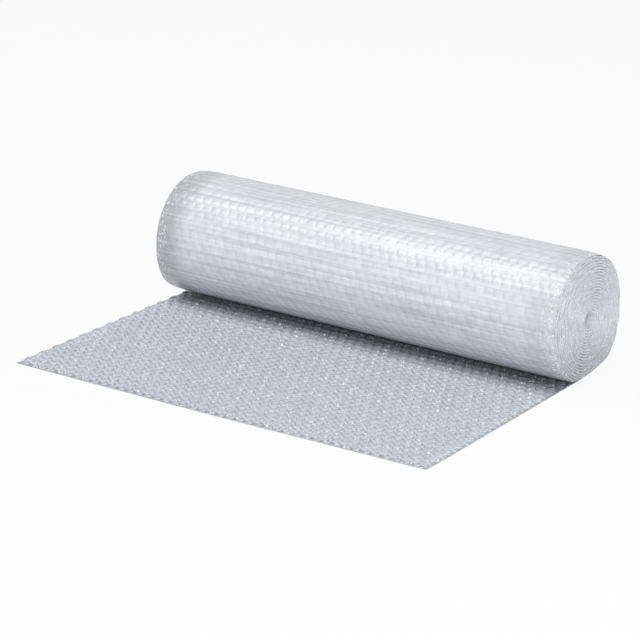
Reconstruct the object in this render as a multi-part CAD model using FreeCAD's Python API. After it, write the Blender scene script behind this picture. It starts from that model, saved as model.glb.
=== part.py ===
import FreeCAD, Part
import math
import os

# A small roll of air bubble film, wound without a tube and lying on its side. Its
# free end is laid flat on the floor in front of it, bubbles up. From there the web
# runs on under the roll, rises behind it and winds inwards. So the smooth film is
# the outside of the roll, and the bubbles face its middle. The whole web is one
# piece, and a row of bubbles across it is one ridge. Wound up, the web bends along
# the sealed strips between the rows.
#
# Sizes are in millimetres. X runs along the roll, -Y points along the laid end and
# +Z is up. The origin is on the floor, in the middle of the space that it covers.

# Driving dimensions of the web
WEB_WIDTH = 500.0            # across the web, which is the length of the roll
FILM_THICKNESS = 0.7         # the two films where they are sealed together
ROW_PITCH = 11.1             # from one row of bubbles to the next
ROW_GAP = 1.1                # sealed strip between two rows
END_MARGIN = 1.2             # sealed strip between the cut end and the first row
FREE_BUBBLE_HEIGHT = 3.2     # of a bubble on the laid end, above the sealed film

# Driving dimensions of the roll
ROLL_HEIGHT = 135.0          # from the floor to the top
FLAT_SPOT = 5.0              # straight stretch where the soft roll sits
TURN_PITCH = 3.0             # from one turn to the next
TURN_GAP = 0.4               # air between a pressed bubble and the turn inside it
WINDING_HOLLOW = 15.0        # least width of the open middle, film to film
LAID_LENGTH = 300.0          # from the cut end to the middle of the roll
ROW_DIP = 0.25               # how far the outermost film is drawn in between two rows
PRESSED_TOP_SHARE = 0.62     # flat top of a pressed bubble, as a share of its foot

# Sizes that follow
BUBBLE_FOOT = ROW_PITCH - ROW_GAP
PRESSED_BUBBLE_HEIGHT = TURN_PITCH - TURN_GAP - FILM_THICKNESS
OUTER_RADIUS = ROLL_HEIGHT / 2
BACK_REACH = OUTER_RADIUS + FLAT_SPOT / 2
ROLL_MIDDLE_Y = (LAID_LENGTH - BACK_REACH) / 2
CUT_END_Y = ROLL_MIDDLE_Y - LAID_LENGTH
LINE_LIMIT = 1e-6            # an outline that bulges less than this is a line
FACET_LIMIT = TURN_GAP / 2   # a short edge that bulges less than this is made straight
BEND_LIMIT = 2 * FILM_THICKNESS  # and so is the wound film over one row, under this


class Stretch:
    """A straight or round stretch of the web's outer line, in the Y-Z plane."""

    def __init__(self, start, heading, length, radius):
        self.start = start
        self.heading = heading
        self.length = length
        self.radius = radius

    def heading_at(self, along):
        if self.radius is None:
            return self.heading
        return self.heading + along / self.radius

    def point(self, along, depth):
        """The point that far along the stretch and that deep on its bubble side."""
        heading = self.heading_at(along)
        inward = FreeCAD.Vector(0, -math.sin(heading), math.cos(heading))
        if self.radius is None:
            forward = FreeCAD.Vector(0, math.cos(heading), math.sin(heading))
            return self.start + forward * along + inward * depth
        first_inward = FreeCAD.Vector(0, -math.sin(self.heading), math.cos(self.heading))
        centre = self.start + first_inward * self.radius
        return centre - inward * (self.radius - depth)

    def follow(self, length, radius):
        """The next stretch, which starts where this one ends."""
        end = self.point(self.length, 0)
        return Stretch(end, self.heading_at(self.length), length, radius)


def spiral_stretches():
    """The outer line, from the cut end to the heart of the roll.

    Each half turn has a radius smaller by half a turn pitch, and a straight as long
    as the flat spot lies between each two. This keeps the turns evenly apart.
    """
    cut_end = FreeCAD.Vector(0, CUT_END_Y, 0)
    stretches = [Stretch(cut_end, 0, LAID_LENGTH + FLAT_SPOT / 2, None)]
    radius = OUTER_RADIUS
    while 2 * (radius - FILM_THICKNESS - PRESSED_BUBBLE_HEIGHT) > WINDING_HOLLOW:
        stretches.append(stretches[-1].follow(math.pi * radius, radius))
        stretches.append(stretches[-1].follow(FLAT_SPOT, None))
        radius -= TURN_PITCH / 2
    return stretches[:-1]


def ends_of(stretches):
    """How far along the web each stretch ends."""
    ends = []
    along = 0
    for stretch in stretches:
        along += stretch.length
        ends.append(along)
    return ends


STRETCHES = spiral_stretches()
ENDS = ends_of(STRETCHES)
WEB_LENGTH = ENDS[-1]
LIFT_OFF = ENDS[0]           # where the web leaves the floor behind the roll
SECOND_TURN = ENDS[4]        # where the web has gone once round the roll


def web_point(along, depth):
    """The point that far along the web and that deep below its outer line."""
    begin = 0
    for stretch, end in zip(STRETCHES, ENDS):
        if along <= end:
            return stretch.point(along - begin, depth)
        begin = end
    return STRETCHES[-1].point(STRETCHES[-1].length, depth)


def bow(first, middle, last, limit):
    """An edge through three points, straight when its bulge is under the limit."""
    bulge = middle.distanceToLine(first, last - first)
    if bulge < limit:
        return Part.makeLine(first, last)
    return Part.Arc(first, middle, last).toShape()


def hop(begin, end, depth):
    """One short edge along the web at one depth, between two bends or over a bubble."""
    points = [web_point(along, depth) for along in (begin, (begin + end) / 2, end)]
    return bow(*points, FACET_LIMIT)


def run(begin, end, depth):
    """Edges along the web at one depth, one for each stretch that they cross."""
    stops = [begin]
    stops += [stop for stop in ENDS if begin < stop < end]
    stops.append(end)
    edges = []
    for low, high in zip(stops, stops[1:]):
        points = [web_point(along, depth) for along in (low, (low + high) / 2, high)]
        edges.append(bow(*points, LINE_LIMIT))
    return edges


def row_middles():
    """How far along the web the middle of each row of bubbles lies."""
    first = END_MARGIN + BUBBLE_FOOT / 2
    count = int((WEB_LENGTH - 2 * first) / ROW_PITCH) + 1
    return [first + row * ROW_PITCH for row in range(count)]


def seat_begin():
    """Where the free bubbles end, because the roll comes down on the web."""
    squeeze = max(FREE_BUBBLE_HEIGHT - PRESSED_BUBBLE_HEIGHT, 0)
    reach = math.sqrt(2 * OUTER_RADIUS * squeeze)
    return LAID_LENGTH - FLAT_SPOT / 2 - reach - BUBBLE_FOOT / 2


def free_bubble(middle):
    """The round back of a row of bubbles on the laid end."""
    crown = FILM_THICKNESS + FREE_BUBBLE_HEIGHT
    first = web_point(middle - BUBBLE_FOOT / 2, FILM_THICKNESS)
    last = web_point(middle + BUBBLE_FOOT / 2, FILM_THICKNESS)
    return [bow(first, web_point(middle, crown), last, LINE_LIMIT)]


def pressed_bubble(middle):
    """The flattened back of a row of bubbles that the next turn presses on."""
    foot = BUBBLE_FOOT / 2
    top = foot * PRESSED_TOP_SHARE
    crown = FILM_THICKNESS + PRESSED_BUBBLE_HEIGHT
    rise = Part.makeLine(web_point(middle - foot, FILM_THICKNESS), web_point(middle - top, crown))
    fall = Part.makeLine(web_point(middle + top, crown), web_point(middle + foot, FILM_THICKNESS))
    return [rise, hop(middle - top, middle + top, crown), fall]


def bubble_side(rows):
    """The inner outline, from the cut end to the heart of the roll."""
    edges = []
    along = 0
    for middle in rows:
        edges.append(hop(along, middle - BUBBLE_FOOT / 2, FILM_THICKNESS))
        shape = free_bubble if middle < seat_begin() else pressed_bubble
        edges += shape(middle)
        along = middle + BUBBLE_FOOT / 2
    return edges + run(along, WEB_LENGTH, FILM_THICKNESS)


def outermost_film(row, begin, end):
    """The film over one row, between two distances from the row's middle."""
    half = ROW_PITCH / 2
    offsets = (begin, (begin + end) / 2, end)
    points = [web_point(row + offset, ROW_DIP * (offset / half) ** 2) for offset in offsets]
    return bow(*points, LINE_LIMIT)


def film_side(rows):
    """The outer outline: plain on the floor, drawn in between the rows once round
    the outside, and bent at each sealed strip inside the roll."""
    half = ROW_PITCH / 2
    outer_rows = [row for row in rows if LIFT_OFF < row < SECOND_TURN]
    first, last = outer_rows[0], outer_rows[-1]
    edges = run(0, first, 0)
    edges.append(outermost_film(first, 0, half))
    edges += [outermost_film(row, -half, half) for row in outer_rows[1:-1]]
    edges.append(outermost_film(last, -half, 0))
    strips = [row + half for row in rows if last <= row < WEB_LENGTH - half]
    for low, high in zip([last] + strips, strips):
        points = [web_point(along, 0) for along in (low, (low + high) / 2, high)]
        edges.append(bow(*points, BEND_LIMIT))
    return edges + run(strips[-1], WEB_LENGTH, 0)


def web_section():
    """The whole web seen from its side edge, as one face."""
    rows = row_middles()
    cut_end = Part.makeLine(web_point(0, 0), web_point(0, FILM_THICKNESS))
    heart_end = Part.makeLine(web_point(WEB_LENGTH, FILM_THICKNESS), web_point(WEB_LENGTH, 0))
    outline = [cut_end] + bubble_side(rows) + [heart_end] + film_side(rows)[::-1]
    return Part.Face(Part.Wire(Part.__sortEdges__(outline)))


def bubble_film():
    """The web across its full width."""
    section = web_section()
    section.translate(FreeCAD.Vector(-WEB_WIDTH / 2, 0, 0))
    return section.extrude(FreeCAD.Vector(WEB_WIDTH, 0, 0))


os.makedirs("parts", exist_ok=True)
bubble_film().exportStep("parts/bubble_film.step")
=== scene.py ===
# Looks of a small roll of air bubble film: the laid end with its single bubbles,
# the outermost turn, and the turns within, whose edges show at both ends.
import math
import bpy
import numpy as np
from mathutils import Matrix, Vector

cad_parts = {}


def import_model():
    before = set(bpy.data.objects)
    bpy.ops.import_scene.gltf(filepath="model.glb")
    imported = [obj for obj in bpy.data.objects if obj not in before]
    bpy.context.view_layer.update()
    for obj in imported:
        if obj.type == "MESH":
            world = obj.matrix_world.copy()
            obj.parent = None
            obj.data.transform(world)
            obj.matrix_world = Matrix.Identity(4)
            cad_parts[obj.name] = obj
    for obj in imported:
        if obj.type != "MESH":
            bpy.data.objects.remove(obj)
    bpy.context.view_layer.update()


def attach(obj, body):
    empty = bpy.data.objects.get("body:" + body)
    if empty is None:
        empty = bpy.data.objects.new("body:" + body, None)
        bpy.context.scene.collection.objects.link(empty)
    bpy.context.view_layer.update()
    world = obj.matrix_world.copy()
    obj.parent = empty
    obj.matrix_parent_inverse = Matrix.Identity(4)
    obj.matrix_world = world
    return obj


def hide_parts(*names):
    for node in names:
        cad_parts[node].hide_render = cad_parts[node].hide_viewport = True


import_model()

MM = 0.001
NODE = "bubble_film"

# The web, as the solid has it
WEB_WIDTH = 500 * MM
ROW_PITCH = 11.1 * MM
END_MARGIN = 1.2 * MM
ROW_GAP = 1.1 * MM
ROLL_HEIGHT = 135 * MM
FLAT_SPOT = 5 * MM
TURN_PITCH = 3 * MM
LAID_LENGTH = 300 * MM
WINDING_HOLLOW = 15 * MM
TURN_DEPTH = 2.6 * MM            # from the outer line to the pressed bubbles' tops

# Its bubbles
COLUMNS = 44                     # bubbles across the web
LAID_ROWS = 27                   # rows on the laid end
OUTER_ROWS = 40                  # rows once round the roll, and a little more
END_COLUMNS = 1                  # columns that show at each end of the roll
FOOT = 4.85 * MM                 # radius of a bubble where it is sealed
SIDES = 12                       # corners of a bubble

# Depths in the web, from its outer line
FILM = 0.25 * MM                 # thickness of the sealed films
FILM_DIP = 0.25 * MM             # how far the sealed strips lie under the outer line
LAID_FILM = 0.6 * MM             # with the air that lies under the laid end
LAID_UNDERSIDE = 0.02 * MM       # how high its smooth side lies
FREE_HEIGHT = 3.4 * MM           # crown of a free bubble
PRESSED_HEIGHT = 2.5 * MM        # and of one between two turns

# Sizes that follow
HALF_WIDTH = WEB_WIDTH / 2
PITCH_X = WEB_WIDTH / COLUMNS
FIRST_ROW = END_MARGIN + (ROW_PITCH - ROW_GAP) / 2
ROLL_BACK = ROLL_HEIGHT / 2 + FLAT_SPOT / 2
ROLL_Y = (LAID_LENGTH - ROLL_BACK) / 2
ROLL_Z = ROLL_HEIGHT / 2
CUT_Y = ROLL_Y - LAID_LENGTH
ONE_TURN = math.pi * ROLL_HEIGHT  # once round the outermost turn, without its flats


# The path of the web

def path():
    """Stretches of the web's outer line, each (begin, y, z, heading, bend), and its length."""
    rows = []
    begin, y, z, heading = 0.0, CUT_Y, 0.0, 0.0
    radius = ROLL_HEIGHT / 2
    plan = [(LAID_LENGTH + FLAT_SPOT / 2, 0.0)]
    while 2 * (radius - TURN_DEPTH) > WINDING_HOLLOW:
        plan += [(math.pi * radius, 1 / radius), (FLAT_SPOT, 0.0)]
        radius -= TURN_PITCH / 2
    for length, bend in plan[:-1]:
        rows.append((begin, y, z, heading, bend))
        turned = heading + length * bend
        if bend:
            y += (math.sin(turned) - math.sin(heading)) / bend
            z -= (math.cos(turned) - math.cos(heading)) / bend
        else:
            y += length * math.cos(heading)
            z += length * math.sin(heading)
        heading = turned
        begin += length
    return np.array(rows), begin


PATH, WEB_LENGTH = path()
LIFT_OFF = PATH[1, 0]            # where the web leaves the floor behind the roll


def on_path(s, depth):
    """(y, z) of points that far along the web and that deep on its bubble side."""
    s = np.asarray(s, float)
    stretch = np.clip(np.searchsorted(PATH[:, 0], s, side="right") - 1, 0, len(PATH) - 1)
    begin, y, z, heading, bend = np.moveaxis(PATH[stretch], -1, 0)
    along = s - begin
    turned = heading + along * bend
    safe = np.where(bend == 0, 1.0, bend)
    round_y = (np.sin(turned) - np.sin(heading)) / safe
    round_z = -(np.cos(turned) - np.cos(heading)) / safe
    y = y + np.where(bend == 0, along * np.cos(heading), round_y)
    z = z + np.where(bend == 0, along * np.sin(heading), round_z)
    return y - depth * np.sin(turned), z + depth * np.cos(turned)


def rise(value, low, high):
    """0 up to the low value, 1 from the high one on, and evenly between them."""
    return np.clip((value - low) / (high - low), 0, 1)


def fall(value, low, high):
    """1 up to the low value, 0 from the high one on, and evenly between them."""
    return rise(-value, -high, -low)


# How the loose web departs from the solid

SOFT_END = 24 * MM               # length over which the roll's ends are soft
SOFT_BEGIN = 40 * MM             # length past the lift-off over which that sets in
EDGE_STEP = 1 * MM               # how far the outermost turn's edge stands back
EDGE_BULGE = 4.5 * MM            # how far the turns inside stand out
EDGE_LEAN = 3 * MM               # how much further out they stand low down
LEAN_HEIGHT = 0.3 * ROLL_Z       # the lean is full from this height down
EDGE_TUCK = 8 * MM               # how far the right ones are tucked in at the ground
TUCK_HEIGHT = 0.25 * ROLL_Z      # the tuck begins at this height
EDGE_CURL = 1.2 * MM             # how far the outermost turn's edge curls in
EDGE_FADE = 9 * MM               # depth over which step and curl fade away
SLOW_WAVE = (0.3 * MM, 9.0)      # unevenness of the edges: size, and radians a metre
FAST_WAVE = (0.15 * MM, 31.0)
WAVE_SHIFT = 2                   # radians that the slow wave is shifted by at each end
CUT_SKEW = 5 * MM                # how far out of square the laid end is cut
SKEW_LENGTH = 0.5 * LAID_LENGTH  # length over which that fades away
DRAWN_IN = 7 * MM                # how far its right edge is drawn in at the roll
DRAWN_FROM = 0.3 * HALF_WIDTH    # how far out across the web that begins
DRAWN_BEGIN = 0.1 * LAID_LENGTH  # and how far along it
DRAWN_END = 60 * MM              # length past the lift-off over which it fades away
LEAST_REACH = 1 * MM             # keeps the curl from dividing by zero


def place(x, s, depth):
    """Points of the web in space, laid a little askew and with the roll's soft ends."""
    y, z = on_path(s, depth)
    y = y + CUT_SKEW * rise(x, 0, HALF_WIDTH) * fall(s, 0, SKEW_LENGTH)
    drawn = DRAWN_IN * rise(x, DRAWN_FROM, HALF_WIDTH) * rise(s, DRAWN_BEGIN, LIFT_OFF)
    drawn = drawn * fall(s, LIFT_OFF, LIFT_OFF + DRAWN_END)
    wound = rise(s, LIFT_OFF, LIFT_OFF + SOFT_BEGIN)
    side = rise(np.abs(x), HALF_WIDTH - SOFT_END, HALF_WIDTH)
    reach = np.maximum(np.hypot(y - ROLL_Y, z - ROLL_Z), LEAST_REACH)
    fade = np.exp(-np.clip(ROLL_Z - reach, 0, None) / EDGE_FADE)
    lean = EDGE_LEAN * fall(z, LEAN_HEIGHT, ROLL_Z)
    lean = lean - (x > 0) * EDGE_TUCK * fall(z, 0, TUCK_HEIGHT)
    uneven = SLOW_WAVE[0] * np.sin(s * SLOW_WAVE[1] + WAVE_SHIFT * np.sign(x))
    uneven = uneven + FAST_WAVE[0] * np.sin(s * FAST_WAVE[1])
    out = EDGE_BULGE - (EDGE_BULGE + EDGE_STEP) * fade + lean + uneven
    shrink = 1 - EDGE_CURL * fade * side ** 3 * wound / reach
    moved = x - drawn + np.sign(x) * side * wound * out
    return np.stack([moved, ROLL_Y + (y - ROLL_Y) * shrink, ROLL_Z + (z - ROLL_Z) * shrink], -1)


# Meshes made of tiles, one to a bubble, with corners on a lattice

ACROSS = 4                       # lattice steps to a column of bubbles
ALONG = 2                        # and to a row
RIM = np.array([                 # corners of a tile, in lattice steps from its middle
    (2, 0), (2, 1), (1, 1), (0, 1), (-1, 1), (-2, 1),
    (-2, 0), (-2, -1), (-1, -1), (0, -1), (1, -1), (2, -1)])
RIGHT_HALF = [9, 10, 11, 0, 1, 2, 3]     # corners of a bubble that the left edge cuts through
LEFT_HALF = [3, 4, 5, 6, 7, 8, 9]        # and of one that the right edge cuts through
SEAL_R = 1.2                     # r of the strips between bubbles
PLAIN_TINT = 0.5                 # and their tint, which is from 0 to 1 on a bubble
SEED = 11                        # for the tints


def across(steps):
    """How far from the web's middle a place lies that many lattice steps across."""
    return steps * PITCH_X / ACROSS - HALF_WIDTH


def lattice(keys):
    """(x, s) of lattice keys. What lies before the first row is on the cut edge."""
    s = FIRST_ROW + keys[..., 1] * ROW_PITCH / ALONG
    return across(keys[..., 0]), np.where(keys[..., 1] <= -1, 0.0, s)


def tiles_of(rows, keep):
    """(middles, corners) of the bubbles of those rows: whole ones and cut ones.

    Every second row is half a pitch aside, so the web's edges cut through its first
    and last bubbles. keep says which places across the web get a tile.
    """
    whole, left, right = [], [], []
    for row in rows:
        shift = row % 2
        steps = [ACROSS * column + ACROSS // 2 * (1 + shift) for column in range(COLUMNS - shift)]
        whole += [(step, ALONG * row) for step in steps if keep(across(step))]
        if shift and keep(-HALF_WIDTH):
            left.append((0, ALONG * row))
        if shift and keep(HALF_WIDTH):
            right.append((ACROSS * COLUMNS, ALONG * row))
    kinds = ((whole, list(range(SIDES))), (left, RIGHT_HALF), (right, LEFT_HALF))
    return [(np.array(middles), corners) for middles, corners in kinds if middles]


def everywhere(x):
    """Tiles all the way across the web."""
    return True


def at_end(side):
    """Tiles at the roll's left end alone, for side -1, or at its right end, for side 1."""
    def keep(x):
        return x * side >= HALF_WIDTH - END_COLUMNS * PITCH_X
    return keep


class Skin:
    """One face of the web: points (x, s, depth, r, tint), faces and cut edges.

    It is made of tiles, one to a bubble. A tile has corners that the tiles beside it
    share, rings of the bubble inside them, each (radius, depth), and its middle. r is
    how far a point lies from that middle, in shares of a foot. The strips between the
    bubbles lie flat at one depth, and height says what share of their full height the
    bubbles have. flip turns the faces round, for the other side of the web.
    """

    def __init__(self, rows, keep, rings, flat, flip, height=None):
        self.rings, self.flat, self.flip, self.height = rings, flat, flip, height
        self.blocks, self.faces, self.cuts = [], [], []
        self.count = 0
        kinds = tiles_of(rows, keep)
        keys = np.concatenate([
            (middles[:, None, :] + RIM[corners]).reshape(-1, 2) for middles, corners in kinds])
        unique, numbers = np.unique(keys, axis=0, return_inverse=True)
        numbers = numbers.reshape(-1)
        self.add_points(*lattice(unique), flat, SEAL_R, PLAIN_TINT)
        self.shared = self.count
        used = 0
        for middles, corners in kinds:
            size = len(middles) * len(corners)
            outline = numbers[used:used + size].reshape(len(middles), len(corners))
            self.add_tiles(middles, corners, outline)
            used += size
        self.points = np.concatenate(self.blocks)

    def add_points(self, *facts):
        """Take in points from their x, s, depth, r and tint, and return their numbers."""
        block = np.stack(np.broadcast_arrays(*facts), -1).astype(float)
        first = self.count
        self.blocks.append(block.reshape(-1, len(facts)))
        self.count += len(self.blocks[-1])
        return np.arange(first, self.count).reshape(block.shape[:-1])

    def add_tiles(self, middles, corners, outline):
        """Take in tiles of one kind, ring by ring from their outlines to their middles."""
        x, s = lattice(middles)
        draws = np.random.default_rng(SEED).random((len(middles), 2))
        tint = draws[:, 0]       # two draws to a bubble, and the first is its tint
        scale = np.ones(len(middles)) if self.height is None else self.height(x, s, tint)
        angle = 2 * math.pi * np.array(corners) / SIDES
        cut = [outline[:, 0]]
        cut_back = [outline[:, -1]]
        for radius, depth in self.rings:
            deep = self.flat + (depth - self.flat) * scale
            if radius:
                ring_x = x[:, None] + radius * np.cos(angle)
                ring_s = s[:, None] + radius * np.sin(angle)
                ring = self.add_points(ring_x, ring_s, deep[:, None], radius / FOOT, tint[:, None])
                cut_back.append(ring[:, -1])
            else:
                ring = np.repeat(self.add_points(x, s, deep, 0, tint)[:, None], len(corners), 1)
            self.add_faces(outline, ring, len(corners) == SIDES, radius == 0)
            cut.append(ring[:, 0])
            outline = ring
        if len(corners) < SIDES:
            self.cuts.append(np.stack(cut + cut_back[::-1], -1))

    def add_faces(self, outer, inner, closed, pointed):
        """Take in the faces between two rings, which close round or end at the web's
        edge. They are three-sided where the inner ring is the tile's middle."""
        ahead = np.roll(outer, -1, 1)
        inner_ahead = np.roll(inner, -1, 1)
        corners = [outer, ahead, inner] if pointed else [outer, ahead, inner_ahead, inner]
        last = None if closed else -1
        made = np.stack([corner[:, :last] for corner in corners], -1).reshape(-1, len(corners))
        self.faces.append(made[:, ::-1] if self.flip else made)


def border_of(faces):
    """Directed edges that only one of the faces has."""
    ahead = [np.stack([face, np.roll(face, -1, 1)], -1).reshape(-1, 2) for face in faces]
    pairs = np.concatenate(ahead).astype(np.int64)
    room = pairs.max() + 1
    there = pairs[:, 0] * room + pairs[:, 1]
    back = pairs[:, 1] * room + pairs[:, 0]
    return pairs[~np.isin(there, back)]


def add_piece(name, verts, faces, slots, facts, materials):
    """An object with a mesh, a material number for each face, and facts for each point."""
    mesh = bpy.data.meshes.new(name)
    mesh.from_pydata(verts, [], faces)
    mesh.polygons.foreach_set("material_index", slots)
    mesh.polygons.foreach_set("use_smooth", [True] * len(faces))
    for attribute, values in facts.items():
        layer = mesh.attributes.new(attribute, "FLOAT", "POINT")
        layer.data.foreach_set("value", np.asarray(values, np.float32))
    for material in materials:
        mesh.materials.append(material)
    mesh.update()
    piece = bpy.data.objects.new(name, mesh)
    bpy.context.scene.collection.objects.link(piece)
    return piece


def web_piece(name, skins, materials):
    """A closed piece from the two faces of the web, joined along their borders.

    Both faces have the same tiles, so their shared points pair up in order. Where
    an edge of the web cuts through bubbles, one flat face closes each cut.
    """
    first, second = skins
    offset = len(first.points)
    points = np.concatenate([first.points, second.points])
    border = border_of(first.faces)
    border = border[(border < first.shared).all(1)]
    begin, end = border.T
    walls = np.stack([end, begin, begin + offset, end + offset], -1)
    cuts = [np.concatenate([top, bottom[:, ::-1] + offset], 1)
            for top, bottom in zip(first.cuts, second.cuts)]
    upper = [face for block in first.faces for face in block.tolist()]
    below = [block + offset for block in second.faces]
    lower = [face for block in (*below, walls, *cuts) for face in block.tolist()]
    x, s, depth, r, tint = points.T
    verts = place(x, s, depth)
    facts = {"bubble_r": r, "tint": tint, "web_x": x, "web_s": s, "above": verts[:, 2]}
    slots = [0] * len(upper) + [1] * len(lower)
    return add_piece(name, verts.tolist(), upper + lower, slots, facts, materials)


# Node trees

MIX_INPUTS = (0, 6, 7)           # factor and the two colours of a mix node
MIX_RESULT = 2


class Tree:
    """The node tree of a material or of the world, under construction."""

    def __init__(self, owner):
        owner.use_nodes = True
        self.nodes, self.links = owner.node_tree.nodes, owner.node_tree.links

    def feed(self, socket, value):
        """Link a socket to another node's output, or set it to a number or a colour."""
        if isinstance(value, bpy.types.NodeSocket):
            self.links.new(value, socket)
        elif socket.type == "RGBA":
            socket.default_value = (*value, 1)
        else:
            socket.default_value = value

    def add(self, kind, inputs, result, **settings):
        """One output of a new node with those inputs and settings."""
        node = self.nodes.new("ShaderNode" + kind)
        for name, value in settings.items():
            setattr(node, name, value)
        for name, value in inputs.items():
            self.feed(node.inputs[name], value)
        return node.outputs[result]

    def math(self, operation, *inputs):
        """The result of a sum on one or two values."""
        return self.add("Math", dict(enumerate(inputs)), "Value", operation=operation)

    def spread(self, value, low, high, to_low=0.0, to_high=1.0):
        """A value carried over from one range to another, and held at its ends."""
        ranges = {"From Min": low, "From Max": high, "To Min": to_low, "To Max": to_high}
        return self.add("MapRange", {"Value": value, **ranges}, "Result")

    def ramp(self, value, stops):
        """A colour or a grey level for a value, from stops at values between 0 and 1."""
        node = self.nodes.new("ShaderNodeValToRGB")
        elements = node.color_ramp.elements
        while len(elements) < len(stops):
            elements.new(0.5)
        for element, (at, shade) in zip(elements, stops):
            element.position = at
            element.color = (*shade, 1) if isinstance(shade, tuple) else (shade, shade, shade, 1)
        self.links.new(value, node.inputs["Fac"])
        return node.outputs["Color"]

    def mix(self, kind, *inputs):
        """Two colours mixed by a factor."""
        return self.add("Mix", dict(zip(MIX_INPUTS, inputs)), MIX_RESULT, data_type="RGBA", blend_type=kind)

    def noise(self, vector, scale, detail):
        """Soft noise between 0 and 1."""
        return self.add("TexNoise", {"Vector": vector, "Scale": scale, "Detail": detail}, "Fac")

    def shown(self):
        """1 for rays that show what lies behind the part, 0 for those that light it."""
        rays = self.nodes.new("ShaderNodeLightPath").outputs
        seen = self.math("MAXIMUM", rays["Is Camera Ray"], rays["Is Transmission Ray"])
        return self.math("MAXIMUM", seen, rays["Is Glossy Ray"])

    def shared(self, factor, first, second):
        """Two shaders mixed by a factor."""
        return self.add("MixShader", {"Fac": factor, 1: first, 2: second}, "Shader")


# Looks that all films share

WHITE = (1.0, 1.0, 1.0)
FILM_IOR = 1.5
EDGE_ON = (0.6, 1.0)             # gloss fades over this range of facing away
SPECULAR = (0.5, 0.1)            # seen from the front, and edge on
COAT_ROUGHNESS = 0.08
SCATTER_DEPTH = 5 * MM
CLOUD_SCALE = 14                 # noise that casts a faint hue over the film
CLOUD_DETAIL = 3
CLOUD = [(0.30, (0.95, 0.975, 1.0)), (0.55, WHITE), (0.75, (0.98, 1.0, 0.985))]
EACH_BUBBLE = (0.97, 1.03)       # tone of a bubble, by its tint
FINE_SCALE = 420                 # noise of the fine relief
FINE_DETAIL = 4
FINE_RANGE = (0.3, 0.7)          # values that it mostly has
ROUGHNESS_SPREAD = (0.7, 1.4)    # roughness at those two, in shares of its mean

# Looks that some films have
PILLOW = [(0.0, 1.0), (0.5, 0.92), (0.66, 0.7), (0.86, 0.1), (1.0, 0.0)]   # from crown to seal
LINE_SCALE = (5.0, 260.0)        # long lines along the rows: across the web, and along it
DASH_SCALE = (70.0, 260.0)       # and short ones
STREAK_DETAIL = 2
LINE_SHARE = 0.7
STREAK_RANGE = (0.35, 0.65)
STREAK_LIGHT = 0.5               # how much of their strength lightens the film
STREAK_RELIEF = 0.6              # and how much of it is relief, in millimetres
PAINTED_END_SHADE = (40 * MM, 18 * MM)   # from a side edge: where its painted shade begins, and is full
PAINTED_NIP_SHADE = (70 * MM, 32 * MM)   # the same for the painted shade before the roll
CUT_EDGE = (1.5 * MM, 3.5 * MM)  # the darker cut edge, and where it has faded
CUT_EDGE_TONE = 0.5
SIDE_EDGE = (3 * MM, 1 * MM)     # from a side edge: where it gets darker, and is so
SIDE_EDGE_TONE = 0.6
PAINTED_SHADE_HEIGHT = 55 * MM             # up to this height the film is darker, a painted shade near the ground
PAINTED_GLINT_SCALE = 260                # cells to a metre, with a painted glint round the point of each
PAINTED_GLINT_SHARE = 0.85               # how white each painted glint is
PAINTED_GLINT_EDGE = (28 * MM, 6 * MM)   # from a side edge: where its painted glint cover begins to grow, and is full


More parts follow.
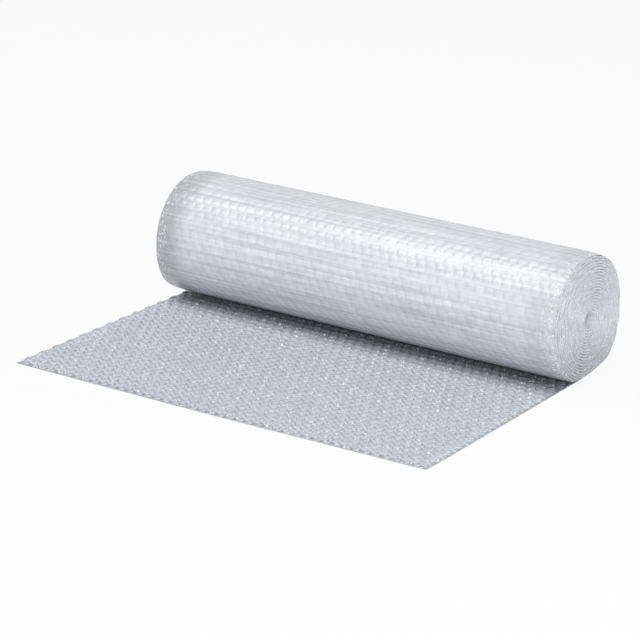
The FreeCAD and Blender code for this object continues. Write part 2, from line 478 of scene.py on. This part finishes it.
class Film(Tree):
    """A film material, whose colour and relief are built up in steps.

    colours and the stops for see_through run from a bubble's middle, at 0, to the
    strips between the bubbles, at 1. relief is in millimetres.
    """

    def __init__(self, name, colours, roughness, coat, relief):
        self.made = bpy.data.materials.new(name)
        super().__init__(self.made)
        self.inputs = self.nodes["Principled BSDF"].inputs
        self.where = self.add("TexCoord", {}, "Object")
        self.x = self.fact("web_x")
        self.from_middle = self.math("ABSOLUTE", self.x)
        self.along = self.fact("web_s")
        self.reach = self.spread(self.fact("bubble_r"), 0, SEAL_R)
        fine = self.noise(self.where, FINE_SCALE, FINE_DETAIL)
        self.height = self.math("MULTIPLY", fine, relief)
        self.colour = self.ramp(self.reach, colours)
        self.tone(self.ramp(self.noise(self.where, CLOUD_SCALE, CLOUD_DETAIL), CLOUD))
        self.tone(self.spread(self.fact("tint"), 0, 1, *EACH_BUBBLE))
        uneven = [roughness * share for share in ROUGHNESS_SPREAD]
        self.feed(self.inputs["Roughness"], self.spread(fine, *FINE_RANGE, *uneven))
        self.gloss(coat)

    def fact(self, name):
        """What the mesh says about each point under that name."""
        return self.add("Attribute", {}, "Fac", attribute_name=name)

    def tone(self, factor):
        """Lighten or darken the film by a factor."""
        self.colour = self.mix("MULTIPLY", 1.0, self.colour, factor)

    def lift(self, height):
        """Add to the film's relief, in millimetres."""
        self.height = self.math("ADD", self.height, height)

    def gloss(self, coat):
        """Gloss and a coat, both of which fade where the film is seen edge on."""
        rim = self.add("LayerWeight", {}, "Facing")
        self.feed(self.inputs["IOR"], FILM_IOR)
        self.feed(self.inputs["Specular IOR Level"], self.spread(rim, *EDGE_ON, *SPECULAR))
        self.feed(self.inputs["Coat Weight"], self.spread(rim, *EDGE_ON, coat, 0.0))
        self.feed(self.inputs["Coat Roughness"], COAT_ROUGHNESS)

    def scatter(self, weight):
        """Let light spread inside the film, all colours equally far."""
        self.feed(self.inputs["Subsurface Weight"], weight)
        self.feed(self.inputs["Subsurface Radius"], (1, 1, 1))
        self.feed(self.inputs["Subsurface Scale"], SCATTER_DEPTH)

    def see_through(self, stops):
        """Make the film partly see-through."""
        self.feed(self.inputs["Alpha"], self.ramp(self.reach, stops))

    def pillow(self, height):
        """Raise each bubble's crown in the relief."""
        self.lift(self.math("MULTIPLY", self.ramp(self.reach, PILLOW), height))

    def drawn_out(self, scale):
        """Noise that is drawn out along the rows of bubbles."""
        across_web = self.math("MULTIPLY", self.x, scale[0])
        along_web = self.math("MULTIPLY", self.along, scale[1])
        place_on_web = self.add("CombineXYZ", {"X": across_web, "Y": along_web}, "Vector")
        return self.noise(place_on_web, 1.0, STREAK_DETAIL)

    def streaks(self, strength):
        """Fine lines and dashes along the rows, in colour and in relief."""
        lines = self.math("MULTIPLY", self.drawn_out(LINE_SCALE), LINE_SHARE)
        dashes = self.math("MULTIPLY", self.drawn_out(DASH_SCALE), 1 - LINE_SHARE)
        both = self.math("ADD", lines, dashes)
        tones = (1 - strength, 1 + STREAK_LIGHT * strength)
        self.tone(self.spread(both, *STREAK_RANGE, *tones))
        self.lift(self.math("MULTIPLY", both, STREAK_RELIEF * strength))

    def painted_end_shades(self, left, right):
        """Painted shade: darken the web at its left and its right edge, each by a share."""
        begin, full = PAINTED_END_SHADE
        for side, darker in ((-1, left), (1, right)):
            out = self.math("MULTIPLY", self.x, side)
            self.tone(self.spread(out, HALF_WIDTH - begin, HALF_WIDTH - full, 1, 1 - darker))

    def painted_nip_shade(self, darker):
        """Painted shade: darken the web by a share where it runs in under the roll."""
        begin, full = PAINTED_NIP_SHADE
        self.tone(self.spread(self.along, LAID_LENGTH - begin, LAID_LENGTH - full, 1, 1 - darker))

    def edge_lines(self):
        """Darken the cut edge and the side edges."""
        begin, full = SIDE_EDGE
        self.tone(self.spread(self.along, *CUT_EDGE, CUT_EDGE_TONE, 1))
        self.tone(self.spread(self.from_middle, HALF_WIDTH - begin, HALF_WIDTH - full, 1, SIDE_EDGE_TONE))

    def painted_low_shade(self, darker):
        """Painted shade: darken the film near the ground by a share."""
        self.tone(self.spread(self.fact("above"), 0, PAINTED_SHADE_HEIGHT, 1 - darker, 1))

    def painted_glints(self, middle, edges):
        """Painted highlights: small white specks in the colour, with how much of the film
        they cover: in the web's middle and at its side edges."""
        begin, full = PAINTED_GLINT_EDGE
        covered = self.spread(self.from_middle, HALF_WIDTH - begin, HALF_WIDTH - full, middle, edges)
        cells = self.add("TexVoronoi", {"Vector": self.where, "Scale": PAINTED_GLINT_SCALE}, "Distance")
        spot = self.math("LESS_THAN", cells, covered)
        white = self.math("MULTIPLY", spot, PAINTED_GLINT_SHARE)
        self.colour = self.mix("MIX", white, self.colour, WHITE)

    def finished(self):
        """The material, with the colour and the relief that were built up."""
        self.feed(self.inputs["Base Color"], self.colour)
        normal = self.add("Bump", {"Distance": 1 * MM, "Height": self.height}, "Normal")
        self.feed(self.inputs["Normal"], normal)
        return self.made


def grey(level, blue=0.02):
    """A grey with a faint blue cast."""
    return (level - blue / 2, level, level + blue)


# The materials

def laid_bubbles():
    """Free bubbles: clear, with a dark ring round the crown and a light seal."""
    ring = [
        (0.0, grey(0.67, 0.045)), (0.55, grey(0.67, 0.045)), (0.78, grey(0.50, 0.04)),
        (0.86, grey(0.76, 0.05)), (1.0, grey(0.95, 0.04))]
    film = Film("laid_bubbles", ring, roughness=0.2, coat=0.5, relief=0.15)
    film.see_through([(0.0, 0.86), (0.7, 0.92), (1.0, 0.95)])
    # painted shade where the web runs in under the roll
    film.painted_nip_shade(0.5)
    film.edge_lines()
    # painted highlights: white specks in the colour
    film.painted_glints(0.26, 0.26)
    return film.finished()


def laid_film():
    """The smooth side of the laid end, in the dark under its bubbles."""
    film = Film("laid_film", [(0.0, grey(0.42)), (1.0, grey(0.42))], roughness=0.3, coat=0.0, relief=0.2)
    film.see_through([(0.0, 0.8), (1.0, 1.0)])
    return film.finished()


def roll_film():
    """The smooth side of the outermost turn, under which each bubble shows faintly."""
    seal = [
        (0.0, grey(0.95, 0.025)), (0.7, grey(0.95, 0.025)), (0.85, grey(0.91, 0.035)),
        (1.0, grey(0.87, 0.035))]
    film = Film("roll_film", seal, roughness=0.18, coat=0.5, relief=0.05)
    film.see_through([(0.0, 0.80), (0.66, 0.80), (0.84, 0.86), (1.0, 0.82)])
    film.pillow(0.3)
    film.streaks(0.22)
    # painted shade at both ends of the roll
    film.painted_end_shades(left=0.34, right=0.12)
    # painted shade near the ground
    film.painted_low_shade(0.2)
    # painted highlights: white specks in the colour
    film.painted_glints(0.05, 0.34)
    return film.finished()


def wound_bubbles():
    """The bubbles on the inside of the outermost turn."""
    ring = [(0.0, grey(0.92)), (0.55, grey(0.90)), (0.8, grey(0.74)), (1.0, grey(0.80))]
    film = Film("wound_bubbles", ring, roughness=0.35, coat=0.1, relief=0.15)
    film.scatter(0.25)
    return film.finished()


def end_bubbles():
    """The bubbles of the turns within, which show at the roll's ends."""
    ring = [
        (0.0, grey(0.69, 0.05)), (0.55, grey(0.69, 0.05)), (0.8, grey(0.67, 0.05)),
        (1.0, grey(0.69, 0.05))]
    film = Film("end_bubbles", ring, roughness=0.25, coat=0.3, relief=0.1)
    film.scatter(0.6)
    # painted shade near the ground
    film.painted_low_shade(0.5)
    # painted highlights: white specks in the colour
    film.painted_glints(0.24, 0.24)
    return film.finished()


def end_film():
    """The smooth side of the turns within."""
    plain = [(0.0, grey(0.69, 0.05)), (1.0, grey(0.71, 0.05))]
    film = Film("end_film", plain, roughness=0.2, coat=0.4, relief=0.1)
    film.see_through([(0.0, 0.75), (1.0, 0.85)])
    # painted shade near the ground
    film.painted_low_shade(0.5)
    # painted highlights: white specks in the colour
    film.painted_glints(0.24, 0.24)
    return film.finished()


# The laid end

LOWEST = 0.80                    # height of the least blown bubble, in shares of a full one
UNEVEN = 0.25                    # and how much higher the best blown one is
NEAR_EDGE = HALF_WIDTH - 0.6 * PITCH_X   # middles further out than this are next to an edge
ON_EDGE = HALF_WIDTH - 0.1 * PITCH_X     # and further out than this are on it
EDGE_HEIGHT = 0.75               # how high bubbles next to an edge stand
CUT_HEIGHT = 0.4                 # and cut ones, having let go of their air
PRESSED_SHARE = 0.55             # how high those near the roll stand
PRESSED_FROM = 90 * MM           # they are lower from this far before the roll's middle
PRESSED_TO = 45 * MM             # and at their lowest from here on
ROOM_REACH = 0.9 * ROLL_Z        # how far out the round of the roll leaves them less room
ROOM_SPARE = 0.9 * MM            # kept free between a bubble and the turn above it


def free_height(x, s, tint):
    """Free bubbles vary a little, edges lower them, and the roll presses on the last ones."""
    far = fall(s, LAID_LENGTH - PRESSED_FROM, LAID_LENGTH - PRESSED_TO)
    pressed = PRESSED_SHARE + (1 - PRESSED_SHARE) * far
    full = pressed * (LOWEST + UNEVEN * tint) * np.where(np.abs(x) > NEAR_EDGE, EDGE_HEIGHT, 1)
    full = np.where(np.abs(x) > ON_EDGE, CUT_HEIGHT, full)
    reach = np.clip(LAID_LENGTH - FLAT_SPOT / 2 - s, 0, ROOM_REACH)
    room = TURN_PITCH + ROLL_Z - np.sqrt(ROLL_Z ** 2 - reach ** 2) - ROOM_SPARE
    return np.minimum(full, room / FREE_HEIGHT)


def laid_end():
    """The laid end, with its round bubbles above and a plain film below."""
    rows = range(LAID_ROWS)
    bubble = [
        (FOOT, LAID_FILM + 0.1 * MM), (0.95 * FOOT, 1.5 * MM), (0.82 * FOOT, 2.7 * MM),
        (0.5 * FOOT, 3.3 * MM), (0, FREE_HEIGHT)]
    above = Skin(rows, everywhere, bubble, LAID_FILM, False, free_height)
    below = Skin(rows, everywhere, [(0, LAID_UNDERSIDE)], LAID_UNDERSIDE, True)
    return web_piece("laid_end", (above, below), (laid_bubbles(), laid_film()))


# The wound turns

OUTER_BUBBLE = [(FOOT, 0.6 * MM), (0.8 * FOOT, 2.0 * MM), (0, PRESSED_HEIGHT)]
INNER_BUBBLE = [(FOOT, 0.45 * MM), (0.93 * FOOT, 1.5 * MM), (0.7 * FOOT, 2.3 * MM), (0, PRESSED_HEIGHT)]
SMOOTH_SIDE = [(FOOT, 0.1 * MM), (0, 0.0)]


def wound_piece(name, rows, keep, bubble, materials):
    """Wound rows of bubbles, whose smooth side is drawn in at the sealed strips."""
    inside = Skin(rows, keep, bubble, FILM_DIP + FILM, False)
    outside = Skin(rows, keep, SMOOTH_SIDE, FILM_DIP, True)
    return web_piece(name, (inside, outside), materials)


def outer_turn():
    """The outermost turn, and a little more."""
    rows = range(LAID_ROWS, LAID_ROWS + OUTER_ROWS)
    return wound_piece("outer_turn", rows, everywhere, OUTER_BUBBLE, (wound_bubbles(), roll_film()))


def end_turns(name, side, materials):
    """The outermost columns of the turns within, which show at one end of the roll."""
    rows = range(LAID_ROWS + OUTER_ROWS, int((WEB_LENGTH - FIRST_ROW) / ROW_PITCH))
    return wound_piece(name, rows, at_end(side), INNER_BUBBLE, materials)


# The turns within, as one ribbon that fills the roll

RIBBON_OUTER = 0.75 * MM         # depths in the web that the ribbon fills
RIBBON_INNER = 2.85 * MM
RIBBON_UNDER_BUBBLES = 1.6 * MM  # its outer side under the outermost turn's bubbles
RIBBON_UNDER_END = 1.1 * ONE_TURN    # how far past the lift-off it has come out from under them
RIBBON_START = 30 * MM           # how far past the lift-off it begins
RIBBON_STEP = ROW_PITCH / 6
RIBBON_BACK = 0.2 * MM           # how far its ends lie behind the web's edges
RIBBON_PILLOW = 0.6 * MM         # how far those ends swell out again
RIBBON_EVEN = 0.6                # how much of that swelling is the same in all rows
RIBBON_POINTS = 5                # points from one side of an end to the other
RIBBON_R = 0.8                   # the place on a bubble whose colour it has


def inner_turns(material):
    """The turns within, as one thick ribbon whose ends are pillowed like the bubbles."""
    s = np.arange(LIFT_OFF + RIBBON_START, WEB_LENGTH - RIBBON_STEP, RIBBON_STEP)
    under = fall(s, LIFT_OFF + ONE_TURN, LIFT_OFF + RIBBON_UNDER_END)
    outer = RIBBON_OUTER + (RIBBON_UNDER_BUBBLES - RIBBON_OUTER) * under
    depth = outer[:, None] + (RIBBON_INNER - outer[:, None]) * np.linspace(0, 1, RIBBON_POINTS)
    swelling = np.sin(np.linspace(0, math.pi, RIBBON_POINTS))
    row = (s - FIRST_ROW) / ROW_PITCH
    rings = []
    for side, half_row in ((-1, 0), (1, 0.5)):
        wave = 0.5 + 0.5 * np.cos(2 * math.pi * (row + half_row))
        share = swelling * (RIBBON_EVEN + (1 - RIBBON_EVEN) * wave[:, None])
        end = HALF_WIDTH - RIBBON_BACK + RIBBON_PILLOW * share
        rings.append(place(side * end, s[:, None] + 0 * depth, depth))
    around = np.concatenate([rings[0], rings[1][:, ::-1]], 1)
    steps, sides = around.shape[:2]
    index = np.arange(steps * sides).reshape(steps, sides)
    ahead = np.roll(index, -1, 1)
    quads = np.stack([index[:-1], ahead[:-1], ahead[1:], index[1:]], -1).reshape(-1, 4)
    faces = quads.tolist() + [index[0, ::-1].tolist(), index[-1].tolist()]
    verts = around.reshape(-1, 3)
    facts = {
        "bubble_r": np.full(len(verts), RIBBON_R), "tint": np.full(len(verts), PLAIN_TINT),
        "web_x": np.full(len(verts), HALF_WIDTH), "web_s": np.repeat(s, sides), "above": verts[:, 2]}
    return add_piece("inner_turns", verts.tolist(), faces, [0] * len(faces), facts, (material,))


# All pieces

def pieces():
    """The web in five pieces."""
    at_ends = (end_bubbles(), end_film())
    return (
        laid_end(), outer_turn(), end_turns("left_turns", -1, at_ends),
        end_turns("right_turns", 1, at_ends), inner_turns(at_ends[0]))


for piece in pieces():
    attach(piece, "root")
    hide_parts(NODE)


# Floor, light and camera

def floor():
    """A wide floor, nearly white to look at, that still takes some shade."""
    reach = 8.0                  # metres from the middle to each side
    drop = 0.2 * MM              # keeps it clear of the film
    base = (0.86, 0.86, 0.86)
    roughness = 0.9
    white_share = 0.92           # of plain white, where it is looked at
    mesh = bpy.data.meshes.new("floor")
    corners = [(-reach, -reach, 0), (reach, -reach, 0), (reach, reach, 0), (-reach, reach, 0)]
    mesh.from_pydata(corners, [], [(0, 1, 2, 3)])
    made = bpy.data.materials.new("floor")
    tree = Tree(made)
    plain = tree.nodes["Principled BSDF"]
    tree.feed(plain.inputs["Base Color"], base)
    tree.feed(plain.inputs["Roughness"], roughness)
    white = tree.add("Emission", {"Strength": 1.0}, "Emission")
    most = tree.math("MULTIPLY", tree.shown(), white_share)
    both = tree.shared(most, plain.outputs["BSDF"], white)
    tree.feed(tree.nodes["Material Output"].inputs["Surface"], both)
    mesh.materials.append(made)
    piece = bpy.data.objects.new("floor", mesh)
    bpy.context.scene.collection.objects.link(piece)
    piece.location.z = -drop


def world():
    """Soft light, less of it from overhead and from behind, and a white backdrop to look at."""
    colour = (0.93, 0.96, 1.0)
    level, overhead = 0.95, 0.05     # light from the sides, and from straight above
    front, behind = 1.05, 0.4        # shares of it from in front, and from behind
    backward = (-0.6, 0.8, 0)
    weaker_from = -0.2               # where it starts to weaken, measured backward
    made = bpy.data.worlds.new("studio")
    bpy.context.scene.world = made
    tree = Tree(made)
    towards = tree.add("TexCoord", {}, "Generated")
    upward = tree.add("SeparateXYZ", {"Vector": towards}, "Z")
    facing = tree.add("VectorMath", {0: towards, 1: backward}, "Value", operation="DOT_PRODUCT")
    by_height = tree.spread(upward, 0, 1, level, overhead)
    by_side = tree.spread(facing, weaker_from, 1, front, behind)
    light = tree.nodes["Background"]
    tree.feed(light.inputs["Color"], colour)
    tree.feed(light.inputs["Strength"], tree.math("MULTIPLY", by_height, by_side))
    white = tree.add("Background", {"Color": WHITE, "Strength": 1.0}, "Background")
    both = tree.shared(tree.shown(), light.outputs["Background"], white)
    tree.feed(tree.nodes["World Output"].inputs["Surface"], both)


def lamp(name, at, target, size, power):
    """A rectangle of light that faces its target."""
    data = bpy.data.lights.new(name, "AREA")
    data.shape = "RECTANGLE"
    data.size, data.size_y = size
    data.energy = power
    made = bpy.data.objects.new(name, data)
    made.location = at
    made.rotation_euler = (Vector(target) - Vector(at)).to_track_quat("-Z", "Y").to_euler()
    bpy.context.scene.collection.objects.link(made)


def lamps():
    """Softboxes high up on the left and on the right, and a low one further right."""
    lamp("softbox", at=(-0.50, -0.50, 1.74), target=(0.08, ROLL_Y, 0.12), size=(1.6, 1.0), power=14)
    lamp("top", at=(0.9, -0.7, 1.4), target=(0.1, -0.05, 0.03), size=(1.2, 1.0), power=8.5)
    lamp("right", at=(1.9, -0.3, 0.45), target=(0.2, 0.05, 0.06), size=(1.0, 0.7), power=8)


def camera():
    """The photo's camera, fitted to its outline in shares of the web's width."""
    azimuth, elevation, roll = (math.radians(angle) for angle in (34.843, 19.197, 0.592))
    focal_px, frame_px = 3028.6, 640     # in pixels of the photo
    sensor = 36.0                        # in millimetres
    distance = 6.2555 * WEB_WIDTH
    target = Vector((-0.0136, -0.207, 0.0856)) * WEB_WIDTH + Vector((0, ROLL_Y, 0))
    level = Vector((math.sin(azimuth), -math.cos(azimuth), 0))
    back = level * math.cos(elevation) + Vector((0, 0, math.sin(elevation)))
    right = Vector((0, 0, 1)).cross(back).normalized()
    up = back.cross(right)
    turned_right = right * math.cos(roll) + up * math.sin(roll)
    turned_up = up * math.cos(roll) - right * math.sin(roll)
    data = bpy.data.cameras.new("camera")
    data.sensor_width = sensor
    data.lens = sensor * focal_px / frame_px
    made = bpy.data.objects.new("camera", data)
    bpy.context.scene.collection.objects.link(made)
    turn = Matrix((turned_right, turned_up, back)).transposed().to_4x4()
    made.matrix_world = Matrix.Translation(target + back * distance) @ turn
    bpy.context.scene.camera = made


floor()
world()
camera()
lamps()

bpy.context.scene.view_settings.view_transform = "Standard"
